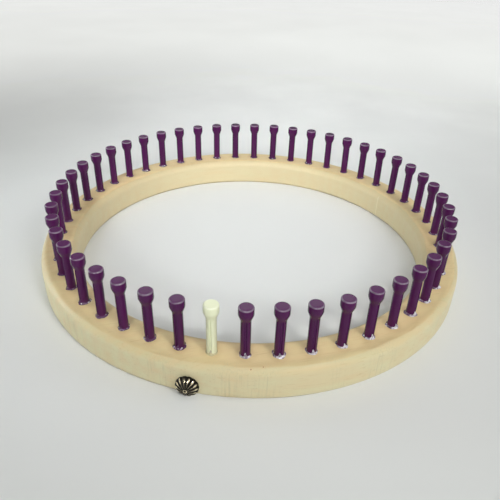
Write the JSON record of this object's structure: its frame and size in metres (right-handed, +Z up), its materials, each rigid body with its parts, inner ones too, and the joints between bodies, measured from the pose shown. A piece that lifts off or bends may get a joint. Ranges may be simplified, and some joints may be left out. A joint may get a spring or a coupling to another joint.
{
  "type": "round knitting loom",
  "caption": "Round knitting loom: a flat wooden ring with a closed row of grooved plastic pegs for looping yarn, a pale start peg and a brass anchor tack.",
  "frame": {"origin": "on the ring's axis, in the plane of its underside, where it lies on a table", "axes": "+Z up along the ring's axis, -Y towards the start peg at the front, +X to the right"},
  "size_m": [0.2638, 0.2673, 0.0474],
  "materials": {
    "ring_wood": "smooth sanded pale wood with a thin clear oil",
    "peg_purple": "moulded, satin to glossy",
    "peg_ivory": "moulded, satin",
    "clear_glue": "clear, hard and glossy",
    "antique_brass": "antique brass with dark recesses"
  },
  "bodies": {
    "root": {"ring": "ring_wood", "start_peg": "peg_ivory", "peg_02": "peg_purple", "peg_03": "peg_purple", "peg_04": "peg_purple", "peg_05": "peg_purple", "peg_06": "peg_purple", "peg_07": "peg_purple", "peg_08": "peg_purple", "peg_09": "peg_purple", "peg_10": "peg_purple", "peg_11": "peg_purple", "peg_12": "peg_purple", "peg_13": "peg_purple", "peg_14": "peg_purple", "peg_15": "peg_purple", "peg_16": "peg_purple", "peg_17": "peg_purple", "peg_18": "peg_purple", "peg_19": "peg_purple", "peg_20": "peg_purple", "peg_21": "peg_purple", "peg_22": "peg_purple", "peg_23": "peg_purple", "peg_24": "peg_purple", "peg_25": "peg_purple", "peg_26": "peg_purple", "peg_27": "peg_purple", "peg_28": "peg_purple", "peg_29": "peg_purple", "peg_30": "peg_purple", "peg_31": "peg_purple", "peg_32": "peg_purple", "peg_33": "peg_purple", "peg_34": "peg_purple", "peg_35": "peg_purple", "peg_36": "peg_purple", "peg_37": "peg_purple", "peg_38": "peg_purple", "peg_39": "peg_purple", "peg_40": "peg_purple", "peg_41": "peg_purple", "peg_42": "peg_purple", "peg_43": "peg_purple", "peg_44": "peg_purple", "peg_45": "peg_purple", "peg_46": "peg_purple", "peg_47": "peg_purple", "peg_48": "peg_purple", "glue_beads": "clear_glue", "anchor_tack": "antique_brass"}
  },
  "joints": []
}
